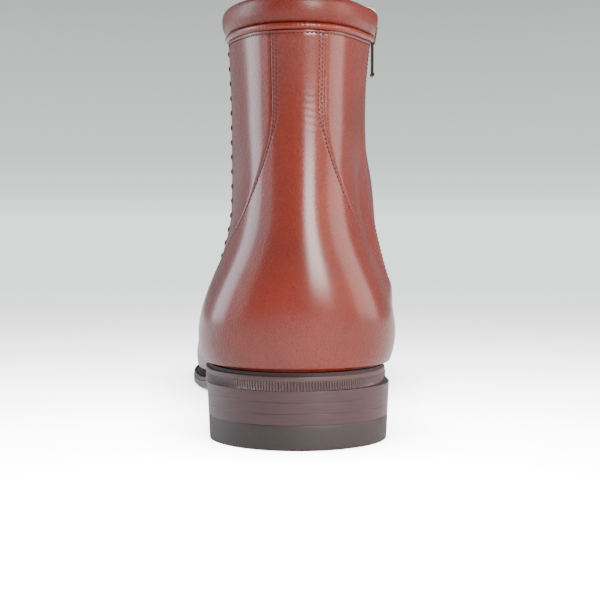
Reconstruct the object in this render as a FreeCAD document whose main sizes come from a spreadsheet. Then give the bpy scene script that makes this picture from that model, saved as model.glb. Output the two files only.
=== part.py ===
import FreeCAD, Part
import math
import os
import Sketcher
from FreeCAD import Placement, Rotation, Vector

os.makedirs("parts", exist_ok=True)
doc = FreeCAD.newDocument("ankle_boot")

# ---------------------------------------------------------------- sizes (mm, degrees)
# Frame: the middle of the heel's ground face is the origin, +Y runs to the toe,
# +X is the inner (zip) side of the foot and +Z is up.
SIZES = {
    "heel_back": 34.3, "heel_radius": 32.75, "heel_breast_y": 33.0, "heel_breast_half": 30.95,
    "heel_taper": 2.4, "top_lift_high": 9.0, "lift_high": 4.0,
    "nail_diameter": 1.7, "nail_hole": 1.9, "nail_long": 16.0, "nail_spread": 21.0,
    "outsole_thick": 3.2, "welt_thick": 1.8, "groove_high": 1.3, "bond_gap": 0.05,
    "nail_centre_y": -1.0, "nail_front_y": 22.0, "sheet_across": 140.0,
    "waist_start_y": 33.0, "rand_inset": 0.1, "inner_trim": 1.2, "welt_ledge": 2.4, "outsole_ledge": 2.7,
    "welt_inner": 9.0, "margin_inset": 1.2, "margin_inner": 14.0,
    "insole_thick": 2.5, "insole_inset": 5.4,
    "sock_thick": 0.9, "sock_inset": 5.8, "shank_lift": 0.3,
    "shank_wide": 13.0, "shank_thick": 1.2, "shank_back_y": 40.0, "shank_front_y": 112.0,
    "leather": 1.6, "wall_mid_out": 1.9, "wall_mid_in": 3.2, "puff_in": 3.0,
    "lining_out": 3.5, "lining_in": 4.6, "collar_step": 2.8,
    "panel_gap": 0.2, "hair_gap": 0.02,
    "collar_sink": 2.2, "collar_half_thick": 3.9, "collar_half_high": 5.0,
    "cover_thick": 1.2, "piping_radius": 1.1, "collar_cut_back": 0.6,
    "zip_y": 14.0, "zip_radius": 200.0, "zip_centre_x": 224.9, "zip_centre_z": 118.0,
    "zip_slot_half": 4.6, "lining_slot_half": 5.7, "mid_slot_half": 12.6,
    "mid_slot_below": 8.0, "lining_slot_below": 1.0,
    "slot_from_x": 8.0, "slot_deep": 40.0, "slot_over": 30.0,
    "zip_end_z": 55.0, "zip_top_z": 156.0, "stop_z": 58.0, "stop_long": 2.4,
    "top_stop_z": 156.0, "top_stop_long": 1.3, "top_stop_apart": 1.2,
    "tape_out": 2.7, "tape_in": 3.3, "tape_inner_half": 3.3, "tape_outer_half": 12.0,
    "tooth_out": 1.9, "tooth_in": 4.1, "tooth_reach": 2.9, "tooth_pitch": 2.5,
    "tooth_high": 1.15, "tooth_overlap": 0.9,
    "guard_out": 6.2, "guard_in": 7.0, "guard_half": 13.0,
    "slider_z": 149.3, "slider_long": 11.0, "slider_wide": 8.4,
    "slider_plate_out": 0.2, "slider_plate_thick": 1.3, "slider_back_out": 4.45,
    "slider_back_thick": 1.0, "slider_post": 1.6, "flange_thick": 0.7,
    "post_long": 2.2, "flange_lip": 0.75, "slider_round": 2.0,
    "bridge_wide": 2.2, "bridge_long": 6.4, "bridge_thick": 0.8, "bridge_open": 1.5,
    "pull_long": 15.4, "pull_wide": 5.0, "pull_thick": 0.8, "pull_eye": 3.2,
    "pull_window": 4.6, "pull_knob_radius": 0.75,
    "stitch_pitch": 5.5, "stitch_long": 2.9, "stitch_radius": 0.45,
    "stitch_lift": 0.06, "stitch_end_z": 66.0,
}

sheet = doc.addObject("Spreadsheet::Sheet", "Sizes")
for row, (alias, value) in enumerate(SIZES.items(), start=1):
    sheet.set("A%d" % row, alias)
    sheet.set("B%d" % row, str(value))
    sheet.setAlias("B%d" % row, alias)
doc.recompute()


def size(alias):
    return float(sheet.get(alias))


def bind(obj, prop, expression):
    """Tie one property to the sheet; names of sizes are written bare."""
    words = sorted(SIZES, key=len, reverse=True)
    out, i = "", 0
    while i < len(expression):
        for word in words:
            if expression.startswith(word, i):
                out, i = out + "Sizes." + word, i + len(word)
                break
        else:
            out, i = out + expression[i], i + 1
    obj.setExpression(prop, out)


# ---------------------------------------------------------------- the last
# Height of the feather line (where upper meets sole) along the boot: level over the
# heel, down through the waist, flat at the ball and sprung up at the toe.
FEATHER = [(-60, 27.3), (-20, 27.3), (5, 27.3), (24, 27.3), (34, 27.3), (45, 26.2), (62, 22.5),
           (90, 15.2), (116, 8.8), (132, 6.6), (146, 6.3), (160, 6.3), (182, 6.7),
           (208, 8.6), (235, 12.1), (265, 17.4), (290, 22.0)]

# Nine rings around the boot from the feather line (0) to the piping (8), and the top
# edge (9).  Each: back point y, z; front ridge point y, z; half widths at seven steps
# from back to front; how much of the foot's outward swing it takes; how far the ridge
# leans to the inner side; how much it follows the feather line; how late it rises.
RINGS = [
    (-35.2, 27.3, 259.5, 15.5, (24.6, 33.9, 28.3, 33.8, 45.3, 38.0, 20.0), 1.0, 3.0, 1.0, 1),
    (-36.8, 38.0, 262.0, 26.0, (26.5, 36.3, 31.0, 37.5, 47.0, 39.5, 21.0), 0.8, 3.0, 0.9, 1),
    (-36.9, 50.0, 242.0, 41.5, (24.8, 34.6, 32.0, 36.0, 43.5, 35.0, 19.5), .35, 3.0, .75, 1),
    (-35.5, 64.0, 203.0, 50.5, (20.0, 29.6, 31.0, 32.5, 34.5, 27.5, 14.0), -.1, 3.0, .45, 1),
    (-33.0, 79.0, 160.0, 62.5, (15.0, 24.3, 28.3, 30.0, 28.0, 20.0, 10.0), -.3, 2.5, 0.2, 1),
    (-30.7, 95.0, 118.0, 75.5, (12.6, 20.8, 26.0, 28.4, 26.5, 18.8, 9.6), -.25, 2.0, 0, 1),
    (-29.6, 111., 82.0, 94.0, (11.2, 19.2, 24.4, 26.4, 24.6, 18.0, 9.5), -.15, 1.0, 0, 1.2),
    (-29.6, 128., 66.5, 120., (10.6, 18.4, 23.6, 25.2, 23.2, 17.0, 9.0), 0, 0.5, 0, 1.6),
    (-30.8, 146., 62.5, 152., (10.8, 18.8, 24.4, 26.1, 24.2, 18.0, 9.6), 0, 0, 0, 3),
    (-31.6, 157., 63.0, 168., (11.4, 19.7, 25.4, 27.3, 25.4, 18.9, 10.0), 0, 0, 0, 4),
]
SWING = (0.3, 0.9, 3.7, 5.8, 6.0, 3.4, 1.6)
STEPS = len(SWING) + 1
COLUMNS = 2 * STEPS

# Seams, as a place from back (0) to front (1) on each ring from the feather line up.
COUNTER_SEAM = (.320, .293, .275, .255, .210, .150, .106, .105, .107, .107)
SIDE_SEAM = (.357, .334, .323, .324, .336, .369, .430, .471, .487, .487)


def spline(points, knots=None, loop=False):
    curve = Part.BSplineCurve()
    options = {"Points": [Vector(*p) for p in points]}
    if knots:
        options["Parameters"] = knots
    if loop:
        options["PeriodicFlag"] = True
    curve.interpolate(**options)
    return curve


def curve_of(pairs):
    """A smooth function through (x, value) pairs, level beyond both ends."""
    xs = [p[0] for p in pairs]
    curve = spline([(p[0], p[1], 0) for p in pairs], xs)
    return lambda x: curve.value(min(max(x, xs[0]), xs[-1])).y


feather_z = curve_of(FEATHER)
counter_seam = curve_of(list(enumerate(COUNTER_SEAM)))
side_seam = curve_of(list(enumerate(SIDE_SEAM)))


def ring_point(ring, step, side):
    y0, z0, y1, z1, widths, swing, lean, sag, late = ring
    s = (1 - math.cos(math.pi * step / STEPS)) / 2
    y = y0 + (y1 - y0) * s
    z = z0 + (z1 - z0) * s ** late
    first, last = RINGS[0][1], RINGS[0][3]
    along = (y - RINGS[0][0]) / (RINGS[0][2] - RINGS[0][0])
    z += sag * (feather_z(y) - (first + (last - first) * along))
    half = 0 if step in (0, STEPS) else widths[step - 1] - side * swing * SWING[step - 1]
    return Vector(side * half + lean * s * s, y, z)


COLUMN_CURVES = []
for column in range(COLUMNS):
    step, side = (column, 1) if column <= STEPS else (COLUMNS - column, -1)
    COLUMN_CURVES.append(spline([ring_point(ring, step, side) for ring in RINGS],
                                list(range(len(RINGS)))))
KNOTS = [2.0 * k / COLUMNS for k in range(COLUMNS + 1)]
_sections = {}


def section(v):
    """The closed ring at height v; its parameter u is 0 at the back, 1 at the front."""
    key = round(v, 5)
    if key not in _sections:
        _sections[key] = spline([c.value(v) for c in COLUMN_CURVES], KNOTS, loop=True)
    return _sections[key]


def zip_arc_x(z):
    return size("zip_centre_x") - math.sqrt(size("zip_radius") ** 2
                                            - (z - size("zip_centre_z")) ** 2)


def find_u(v, y, low=0.0, high=1.0):
    """Where ring v crosses a given y on the inner side."""
    ring = section(v)
    for _ in range(24):
        mid = (low + high) / 2
        low, high = (mid, high) if ring.value(mid).y < y else (low, mid)
    return (low + high) / 2


# Beside the zip the last is flat: this far from its line, blending out over this much
# more, and coming in between these two heights.
ZIP_FLAT_HALF, ZIP_BLEND, ZIP_FADE_LOW, ZIP_FADE_HIGH = 5.0, 16.0, 46.0, 57.0


def ease(f):
    f = min(1.0, max(0.0, f))
    return f * f * (3 - 2 * f)


def plain(u, v):
    """A point of the last; beside the zip it lies flat on the zip's arc."""
    p = section(v).value(u % 2.0)
    if p.x > 0 and p.z > ZIP_FADE_LOW:
        off = abs(p.y - size("zip_y")) - ZIP_FLAT_HALF
        pull = ease(1 - off / ZIP_BLEND)
        pull *= ease((p.z - ZIP_FADE_LOW) / (ZIP_FADE_HIGH - ZIP_FADE_LOW))
        p = Vector(p.x + pull * (zip_arc_x(p.z) - p.x), p.y, p.z)
    return p


def on_last(u, v, depth=0.0):
    """A point on the boot's outer face, or that far inside it along the normal."""
    e = 0.004
    along = plain(u + e, v) - plain(u - e, v)
    up = plain(u, v + e) - plain(u, v - e)
    normal = along.cross(up).normalize()
    return plain(u, v) - normal * depth


# ---------------------------------------------------------------- helpers for parts
NODES = []


def publish(obj, name):
    obj.Label = name
    NODES.append(obj)
    return obj


def feature(shape, name):
    obj = doc.addObject("Part::Feature", name)
    obj.Shape = shape
    return publish(obj, name)


def plane(body, role):
    return next(f for f in body.Origin.OriginFeatures if f.Role == role)


def sketch_on(body, name, role):
    sketch = body.newObject("Sketcher::SketchObject", name)
    sketch.AttachmentSupport = [(plane(body, role), "")]
    sketch.MapMode = "FlatFace"
    return sketch


def both_ways(op):
    """Make a pad or pocket run to both sides of its sketch."""
    if "SideType" in op.PropertiesList:
        op.SideType = "Symmetric"
    else:
        op.Midplane = True


def frange(start, stop, count):
    return [start + (stop - start) * k / (count - 1) for k in range(count)]


def panel(left, right, low, high, outer, inner, rows=15, columns=13):
    """A piece of bent sheet on the last: left and right edges as functions of height,
    between two rings, from one depth to another."""
    skins = []
    for depth in (outer, inner):
        net = [[on_last(u, v, depth(v)) for u in frange(left(v), right(v), columns)]
               for v in frange(low, high, rows)]
        skin = Part.BSplineSurface()
        skin.interpolate(net)
        skins.append(skin)
    out, inn = skins
    faces = [out.toShape(), inn.toShape()]
    for side in (0, 1):
        faces.append(Part.makeRuledSurface(out.uIso(side).toShape(), inn.uIso(side).toShape()))
        faces.append(Part.makeRuledSurface(out.vIso(side).toShape(), inn.vIso(side).toShape()))
    shell = Part.makeShell(faces)
    shell.sewShape()
    solid = Part.makeSolid(shell)
    if solid.Volume < 0:
        solid.reverse()
    return solid


def flat(value):
    return lambda v: value


def rope(v, depth, half_thick, half_high, start, end, sections=41, points=12):
    """A closed cross-section carried round the boot at ring v."""
    wires = []
    for u in frange(start, end, sections):
        centre = on_last(u, v, depth)
        out = (on_last(u, v, -1) - on_last(u, v, 0)).normalize()
        up = (plain(u, v + 0.01) - plain(u, v - 0.01)).normalize()
        ring = [centre + out * (half_thick * math.cos(a)) + up * (half_high * math.sin(a))
                for a in (2 * math.pi * k / points for k in range(points))]
        wires.append(Part.Wire([spline(ring, loop=True).toShape()]))
    return Part.makeLoft(wires, True, False)


# ---------------------------------------------------------------- sole and heel
def heel_plan(body, name, base):
    """The heel's D-shaped plan, with its radius taken at the given height."""
    sketch = sketch_on(body, name, "XY_Plane")
    radius, back = size("heel_radius"), size("heel_back")
    half, front = size("heel_breast_half"), size("heel_breast_y")
    side = -back + radius
    arc = Part.ArcOfCircle(Part.Circle(Vector(0, side, 0), Vector(0, 0, 1), radius),
                           math.pi, 2 * math.pi)
    sketch.addGeometry(arc)
    corners = [Vector(radius, side, 0), Vector(half, front, 0),
               Vector(-half, front, 0), Vector(-radius, side, 0)]
    for a, b in zip(corners, corners[1:]):
        sketch.addGeometry(Part.LineSegment(a, b))
    add = sketch.addConstraint
    add(Sketcher.Constraint("Coincident", 0, 2, 1, 1))
    add(Sketcher.Constraint("Coincident", 1, 2, 2, 1))
    add(Sketcher.Constraint("Coincident", 2, 2, 3, 1))
    add(Sketcher.Constraint("Coincident", 3, 2, 0, 1))
    add(Sketcher.Constraint("Horizontal", 0, 1, 0, 2))
    add(Sketcher.Constraint("Symmetric", 0, 1, 0, 2, -2))
    add(Sketcher.Constraint("Symmetric", 2, 1, 2, 2, -2))
    named = [("Radius", (0, radius), "heel_radius + (%s) * tan(heel_taper * 1 deg)" % base),
             ("DistanceY", (-1, 1, 2, 1, front), "heel_breast_y")]
    for kind, args, expression in named:
        index = add(Sketcher.Constraint(kind, *args))
        bind(sketch, "Constraints[%d]" % index, expression)
    index = add(Sketcher.Constraint("DistanceX", 2, 2, 2, 1, 2 * half))
    bind(sketch, "Constraints[%d]" % index, "2 * heel_breast_half")
    index = add(Sketcher.Constraint("DistanceY", 0, 3, 2, 1, front - side))
    bind(sketch, "Constraints[%d]" % index, "heel_breast_y + heel_back - heel_radius")
    return sketch


LIFTS = 3
NAIL_ANGLES = (-165, -128, -90, -52, -15)


def nail_places():
    """Round the back of the heel, with one more near each front corner."""
    spread, middle, front = size("nail_spread"), size("nail_centre_y"), size("nail_front_y")
    places = [(-spread, front), (spread, front)]
    for angle in NAIL_ANGLES:
        turn = math.radians(angle)
        places.append((spread * math.cos(turn), middle + spread * math.sin(turn)))
    return places


def heel_lift(name, base, high, nailed=True):
    body = doc.addObject("PartDesign::Body", name)
    pad = body.newObject("PartDesign::Pad", name + "_pad")
    pad.Profile = heel_plan(body, name + "_plan", base)
    bind(pad, "Length", high)
    bind(pad, "TaperAngle", "heel_taper * 1 deg")
    doc.recompute()
    if nailed:
        sketch = sketch_on(body, name + "_nails", "XY_Plane")
        for x, y in nail_places():
            index = sketch.addGeometry(Part.Circle(Vector(x, y, 0), Vector(0, 0, 1),
                                                   size("nail_hole") / 2))
            dia = sketch.addConstraint(Sketcher.Constraint("Diameter", index,
                                                           size("nail_hole")))
            bind(sketch, "Constraints[%d]" % dia, "nail_hole")
        pocket = body.newObject("PartDesign::Pocket", name + "_holes")
        pocket.Profile = sketch
        pocket.Type = "ThroughAll"
        both_ways(pocket)
    bind(body, "Placement.Base.z", base)
    return publish(body, name)


def heel():
    heel_lift("heel_top_lift", "0 * lift_high", "top_lift_high", nailed=False)
    for k in range(LIFTS):
        heel_lift("heel_lift_%d" % (k + 1), "top_lift_high + %d * lift_high" % k,
                  "lift_high - 2 * bond_gap")
    low = size("top_lift_high") + size("bond_gap")
    top = low + LIFTS * (size("lift_high") - size("bond_gap"))
    nails = [Part.makeCylinder(size("nail_diameter") / 2, top - low, Vector(x, y, low))
             for x, y in nail_places()]
    feature(Part.makeCompound(nails), "heel_nails")


def plan_ring(inset, count=36):
    """The feather line seen from above, moved in by inset(point) (out when negative)."""
    ring = section(0)
    points = []
    for k in range(count):
        u = 2.0 * k / count
        p, q = ring.value(u), ring.value((u + 0.01) % 2)
        back = ring.value((u - 0.01) % 2)
        tangent = Vector(q.x - back.x, q.y - back.y, 0).normalize()
        out = Vector(tangent.y, -tangent.x, 0)
        points.append(Vector(p.x, p.y, 0) - out * inset(p))
    return spline(points, loop=True)


LEDGE_RUN, INNER_LEDGE_LATER, TRIM_RUN = 75.0, 34.0, 20.0


def ledge(amount):
    """Flush with the heel at the back, standing out by the ledge round the forepart; the
    inner side is trimmed close for longer."""
    def inset(p):
        close = size("rand_inset") + size("inner_trim") * max(0.0, min(1.0, p.x / TRIM_RUN))
        start = size("waist_start_y") + (INNER_LEDGE_LATER if p.x > 0 else 0)
        out = ease((p.y - start) / LEDGE_RUN)
        return close - (close + amount) * out
    return inset


def oblong(sketch, half, low, high):
    """A rectangle in plan, on the boot's centre line."""
    corners = [Vector(-half, low, 0), Vector(half, low, 0), Vector(half, high, 0),
               Vector(-half, high, 0)]
    for a, b in zip(corners, corners[1:] + corners[:1]):
        sketch.addGeometry(Part.LineSegment(a, b))


# Every sheet of the sole is drawn past both ends of the boot, through this many points,
# and trimmed by a rectangle (half width, back, front) that is larger than the boot.
SHEET_BACK, SHEET_FRONT, SHEET_POINTS, SHEET_END = -60.0, 290.0, 29, 4.0
TRIM_PLAN = 90, -80, 320


def sole_layer(name, low, high, outline, hole=None, back=SHEET_BACK, front=SHEET_FRONT):
    """A sheet that follows the feather line: its side view is padded across the boot,
    then everything off its plan is taken away."""
    body = doc.addObject("PartDesign::Body", name)
    side = sketch_on(body, name + "_side", "YZ_Plane")
    ys = [y for y in frange(SHEET_BACK, SHEET_FRONT, SHEET_POINTS)
          if back + SHEET_END < y < front - SHEET_END]
    ys = [back] + ys + [front]
    top = [Vector(y, feather_z(y) + high, 0) for y in ys]
    under = [Vector(y, feather_z(y) + low, 0) for y in ys]
    side.addGeometry(spline(top))
    side.addGeometry(Part.LineSegment(top[-1], under[-1]))
    side.addGeometry(spline(under[::-1]))
    side.addGeometry(Part.LineSegment(under[0], top[0]))
    pad = body.newObject("PartDesign::Pad", name + "_pad")
    pad.Profile = side
    bind(pad, "Length", "sheet_across")
    both_ways(pad)
    doc.recompute()
    plan = sketch_on(body, name + "_plan", "XY_Plane")
    oblong(plan, *TRIM_PLAN)
    for edge_of in (outline, hole):
        if callable(edge_of):
            plan.addGeometry(plan_ring(edge_of))
        elif edge_of:
            oblong(plan, *edge_of)
    trim = body.newObject("PartDesign::Pocket", name + "_trim")
    trim.Profile = plan
    trim.Type = "ThroughAll"
    both_ways(trim)
    doc.recompute()
    return publish(body, name)


def sole():
    stack = size("outsole_thick") + size("welt_thick") + size("groove_high")
    welt_low = -size("welt_thick") - size("groove_high")
    groove = -size("groove_high")
    gap, hair = size("bond_gap"), size("hair_gap")
    waist = size("waist_start_y")
    welt_in = flat(size("welt_inner"))
    sole_layer("outsole", -stack, welt_low - hair, ledge(size("outsole_ledge")))
    sole_layer("heel_rand", welt_low, groove, ledge(size("welt_ledge")), welt_in,
               front=waist)
    sole_layer("welt", welt_low, groove, ledge(size("welt_ledge")), welt_in,
               back=waist + 2 * gap)
    sole_layer("heel_seat_filler", welt_low, groove, flat(size("welt_inner") + gap),
               front=waist)
    half, fit = size("shank_wide") / 2, 2 * gap
    low, high = size("shank_back_y"), size("shank_front_y")
    sole_layer("cork_filler", welt_low, groove, flat(size("welt_inner") + gap),
               (half + fit, low - fit, high + fit), back=waist + 2 * gap)
    under = welt_low + size("shank_lift")
    sole_layer("shank", under, under + size("shank_thick"), (half, low, high),
               back=low, front=high)
    sole_layer("lasting_margin", groove + gap, -hair, flat(size("margin_inset")),
               flat(size("margin_inner")))
    sole_layer("insole", gap, size("insole_thick"), flat(size("insole_inset")))
    sole_layer("sock_lining", size("insole_thick") + hair,
               size("insole_thick") + size("sock_thick"), flat(size("sock_inset")))


# ---------------------------------------------------------------- the upper
def slot(half, bottom):
    """The opening the zip leaves in a layer, straight through the inner side."""
    x, y, low = size("slot_from_x"), size("zip_y"), bottom + half
    deep, high = size("slot_deep"), size("zip_top_z") + size("slot_over") - low
    box = Part.makeBox(deep, 2 * half, high, Vector(x, y - half, low))
    end = Part.makeCylinder(half, deep, Vector(x, y, low), Vector(1, 0, 0))
    return box.fuse(end)


def seam_gap(v, at):
    """Half a seam's width as a step of u."""
    ring = section(v)
    e = 0.002
    return size("panel_gap") / 2 / (ring.value((at + e) % 2).distanceToPoint(
        ring.value((at - e) % 2)) / (2 * e))


def edge(seam, side, toward):
    """A seam's place on one side (+1 inner, -1 outer), drawn back by the gap."""
    return lambda v: side * seam(v) + toward * seam_gap(v, side * seam(v))


SEAM_SWEEP = 0.045


def zip_line(v):
    """The zip's line on the inner side; below its end it runs on forward as a seam."""
    u = find_u(v, size("zip_y"))
    below = max(0.0, size("zip_end_z") + 1 - section(v).value(u).z)
    return find_u(v, size("zip_y") + SEAM_SWEEP * below ** 2)


zip_seam = curve_of([(k / 2, zip_line(k / 2)) for k in range(19)])


def around(seam, side, toward):
    """The same, counted on past the front of the boot."""
    place = edge(seam, side, toward)
    return lambda v: place(v) - 2


# How high each layer reaches, in rings.
TOP = 7.93
COLLAR_STEP_RING, PIPING_RING, COLLAR_RING = 6.9, 8.0, 8.55
STIFFENER_SPAN = 0.08, 3.9
INTERLINING_SPAN = 4.1, 7.8
PUFF_SPAN, PUFF_HALF, PUFF_NARROWS = (0.1, 2.1), 0.14, 0.02
LINING_SPAN = 0.1, 8.86
GUARD_SPAN = 2.3, 8.8
TAPE_SPAN = 2.72, 8.86


def behind_collar(base):
    """A depth that steps in behind the padded collar."""
    def at(v):
        return base + size("collar_step") * ease(v - COLLAR_STEP_RING)
    return at


def upper():
    skin = flat(0.0), flat(size("leather"))
    opening = slot(size("zip_slot_half"), size("zip_end_z"))
    feature(panel(edge(counter_seam, -1, 1), edge(counter_seam, 1, -1), 0, TOP, *skin,
                  rows=23, columns=27), "counter_panel")
    feature(panel(edge(side_seam, -1, 1), edge(counter_seam, -1, -1), 0, TOP, *skin,
                  rows=23, columns=9), "quarter_lateral")
    feature(panel(edge(counter_seam, 1, 1), edge(zip_seam, 1, -1), 0, TOP, *skin,
                  rows=23, columns=11).cut(opening), "quarter_medial")
    feature(panel(around(zip_seam, 1, 1), edge(side_seam, -1, -1), 0, TOP, *skin,
                  rows=23, columns=41).cut(opening), "vamp")


def inner_wall():
    """Stiffening and padding between the leather and the lining, and the lining."""
    mid = flat(size("wall_mid_out")), flat(size("wall_mid_in"))
    clear = slot(size("mid_slot_half"), size("zip_end_z") - size("mid_slot_below"))
    feature(panel(edge(counter_seam, -1, 1), edge(counter_seam, 1, -1), *STIFFENER_SPAN,
                  *mid, columns=27).cut(clear), "heel_stiffener")
    feature(panel(around(zip_seam, 1, 1), edge(side_seam, -1, -1), *INTERLINING_SPAN,
                  *mid, columns=31).cut(clear), "front_interlining")
    feature(panel(edge(side_seam, -1, 1), edge(zip_seam, 1, -1), *INTERLINING_SPAN,
                  *mid, columns=31).cut(clear), "back_interlining")

    def toe_edge(side):
        return lambda v: side * (PUFF_HALF - PUFF_NARROWS * v) - 1
    feature(panel(toe_edge(-1), toe_edge(1), *PUFF_SPAN, mid[0], flat(size("puff_in"))),
            "toe_puff")

    skin = behind_collar(size("lining_out")), behind_collar(size("lining_in"))
    clear = slot(size("lining_slot_half"), size("zip_end_z") - size("lining_slot_below"))
    feature(panel(around(zip_seam, 1, 1), edge(side_seam, -1, -1), *LINING_SPAN, *skin,
                  rows=31, columns=41).cut(clear), "lining_vamp")
    feature(panel(edge(side_seam, -1, 1), edge(zip_seam, 1, -1), *LINING_SPAN, *skin,
                  rows=31, columns=45).cut(clear), "lining_quarters")


def collar():
    """A padded roll round the top, open at the zip, with a bead of piping below it."""
    def ends(v, extra=0.0):
        off = size("zip_slot_half") + size("collar_cut_back") + extra
        return find_u(v, size("zip_y") + off), find_u(v, size("zip_y") - off) + 2

    def roll(less):
        """The collar's solid, smaller all round by some amount."""
        return rope(COLLAR_RING, size("collar_sink"), size("collar_half_thick") - less,
                    size("collar_half_high") - less, *ends(COLLAR_RING, less))
    cover, fit = size("cover_thick"), 2 * size("bond_gap")
    feature(roll(0).cut(roll(cover)), "collar_cover")
    feature(roll(cover + fit), "collar_foam")
    bead = size("piping_radius")
    feature(rope(PIPING_RING, 0.0, bead, bead, *ends(PIPING_RING), points=8), "piping")


def at_zip(across):
    """The line on the last at one distance fore (+) or aft (-) of the zip."""
    return lambda v: find_u(v, size("zip_y") + across)


def on_arc(shape, z):
    """Carry a shape built at the origin (X out of the boot, Z up the zip) to its place:
    its origin lands on the leather's face at height z, square to the zip's arc."""
    angle = math.asin((z - size("zip_centre_z")) / size("zip_radius"))
    place = Vector(zip_arc_x(z), size("zip_y"), z)
    shape.Placement = Placement(place, Rotation(Vector(0, 1, 0), math.degrees(angle)))
    return shape


def brick(out, inn, aft, fore, low, high):
    """A block from depth out to depth inn, aft to fore, low to high."""
    return Part.makeBox(inn - out, fore - aft, high - low, Vector(-inn, aft, low))


TAPE_NARROWS_Z = 144.0
TRIM_BLOCK = 40.0


def zip_chain():
    reach, high = size("tooth_reach"), size("tooth_high")
    out, inn, pitch = size("tooth_out"), size("tooth_in"), size("tooth_pitch")
    overlap, fit = size("tooth_overlap"), 2 * size("bond_gap")
    radius, centre = size("zip_radius"), size("zip_centre_z")
    low = math.asin((size("stop_z") + size("stop_long") - centre) / radius)
    top = math.asin((size("slider_z") - centre) / radius)
    count = int((top - low) * radius / pitch)
    front, rear = [], []
    for k in range(count):
        z = centre + radius * math.sin(low + k * pitch / radius)
        front.append(on_arc(brick(out, inn, -overlap, reach, -high / 2, high / 2), z))
        z = centre + radius * math.sin(low + (k + 0.5) * pitch / radius)
        rear.append(on_arc(brick(out, inn, -reach, overlap, -high / 2, high / 2), z))
    feature(Part.makeCompound(front), "zip_teeth_front")
    feature(Part.makeCompound(rear), "zip_teeth_rear")

    near, far = size("tape_inner_half"), size("tape_outer_half")
    narrow, y = size("zip_slot_half") - fit, size("zip_y")
    skin = flat(size("tape_out")), flat(size("tape_in"))
    for name, span, cut_y in (("zip_tape_front", (near, far), y + narrow),
                              ("zip_tape_rear", (-far, -near), y - narrow - TRIM_BLOCK)):
        trim = Part.makeBox(TRIM_BLOCK, TRIM_BLOCK, TRIM_BLOCK,
                            Vector(0, cut_y, TAPE_NARROWS_Z))
        feature(panel(at_zip(span[0]), at_zip(span[1]), *TAPE_SPAN, *skin,
                      rows=21, columns=9).cut(trim), name)
    half = size("guard_half")
    feature(panel(at_zip(-half), at_zip(half), *GUARD_SPAN,
                  behind_collar(size("guard_out")), behind_collar(size("guard_in")),
                  rows=21, columns=13), "zip_guard")

    half = size("stop_long") / 2
    stop = brick(out - fit, inn + fit, fit - near, near - fit, -half, half)
    feature(on_arc(stop, size("stop_z")), "zip_bottom_stop")
    half, apart = size("top_stop_long") / 2, size("top_stop_apart")
    stops = [on_arc(brick(out, inn, *span, -half, half), size("top_stop_z"))
             for span in ((fit - near, -apart), (apart, near - fit))]
    feature(Part.makeCompound(stops), "zip_top_stops")


def slider():
    half_long, half_wide = size("slider_long") / 2, size("slider_wide") / 2
    face, thick = size("slider_plate_out"), size("slider_plate_thick")
    back, back_thick = size("slider_back_out"), size("slider_back_thick")
    rim, post = size("flange_thick"), size("slider_post") / 2
    lip, rounding = size("flange_lip"), size("slider_round")
    body = brick(face, face + thick, -half_wide, half_wide, -half_long, half_long)
    body = body.fuse(brick(back, back + back_thick, -half_wide, half_wide,
                           -half_long, half_long))
    body = body.fuse(brick(face, back + back_thick, -post, post,
                           half_long - size("post_long"), half_long))
    for aft in (-half_wide, half_wide - rim):
        body = body.fuse(brick(face, face + thick + lip, aft, aft + rim,
                               -half_long, half_long))
        body = body.fuse(brick(back - lip, back + back_thick, aft, aft + rim,
                               -half_long, half_long))
    rounded = brick(-1, back + back_thick + 1, -half_wide, half_wide, -half_long, half_long)
    rounded = rounded.makeFillet(rounding, [e for e in rounded.Edges
                                            if e.BoundBox.XLength > back])
    body = body.common(rounded)
    bridge, hollow = size("bridge_wide") / 2, size("bridge_open")
    top = face - hollow - size("bridge_thick")
    reach, leg = size("bridge_long") / 2, size("bridge_thick")
    arch = brick(top, face + thick / 2, -bridge, bridge, -reach, reach)
    arch = arch.cut(brick(top + leg, face, -bridge, bridge, -reach + leg, reach - leg))
    body = body.fuse(arch).removeSplitter()
    feature(on_arc(body, size("slider_z")), "zip_slider")


def pull():
    """The tag that hangs from the slider's bridge, straight down at rest."""
    lift = size("bridge_open") / 2 - size("slider_plate_out")
    angle = math.asin((size("slider_z") - size("zip_centre_z")) / size("zip_radius"))
    pivot = Vector(zip_arc_x(size("slider_z")) + lift * math.cos(angle), size("zip_y"),
                   size("slider_z") - lift * math.sin(angle))
    thick, wide, long = size("pull_thick"), size("pull_wide"), size("pull_long")
    eye, window, round_end = size("pull_eye") / 2, size("pull_window"), size("pull_knob_radius")
    pin = Part.makeCylinder(thick / 2, wide, Vector(0, -wide / 2, 0), Vector(0, 1, 0))
    plate = Part.makeBox(thick, wide, long, Vector(-thick / 2, -wide / 2, -long))
    plate = plate.cut(Part.makeBox(2 * thick, 2 * eye, window, Vector(-thick, -eye, -window)))
    knob = Part.makeCylinder(round_end, wide, Vector(0, -wide / 2, round_end - long),
                             Vector(0, 1, 0))
    tag = plate.fuse([pin, knob]).removeSplitter()
    tag.Placement = Placement(pivot, Rotation())
    feature(tag, "zip_pull")


def side_stitches():
    """Thick hand stitches lying along the outer side's seam."""
    radius, long = size("stitch_radius"), size("stitch_long")
    proud, step, reach = radius + size("stitch_lift"), 0.01, 0.1

    def seam(v, out=0.0):
        return on_last(-side_seam(v), v, -out)
    stitches, v, travelled = [], TOP - reach, 0.0
    while seam(v).z > size("stitch_end_z"):
        travelled += seam(v).distanceToPoint(seam(v - step))
        v -= step
        if travelled >= size("stitch_pitch"):
            travelled = 0.0
            seat = seam(v, proud)
            along = (seam(v - reach, proud) - seat).normalize()
            stitches.append(Part.makeCylinder(radius, long, seat - along * (long / 2), along))
    feature(Part.makeCompound(stitches), "side_seam_thread")


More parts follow.
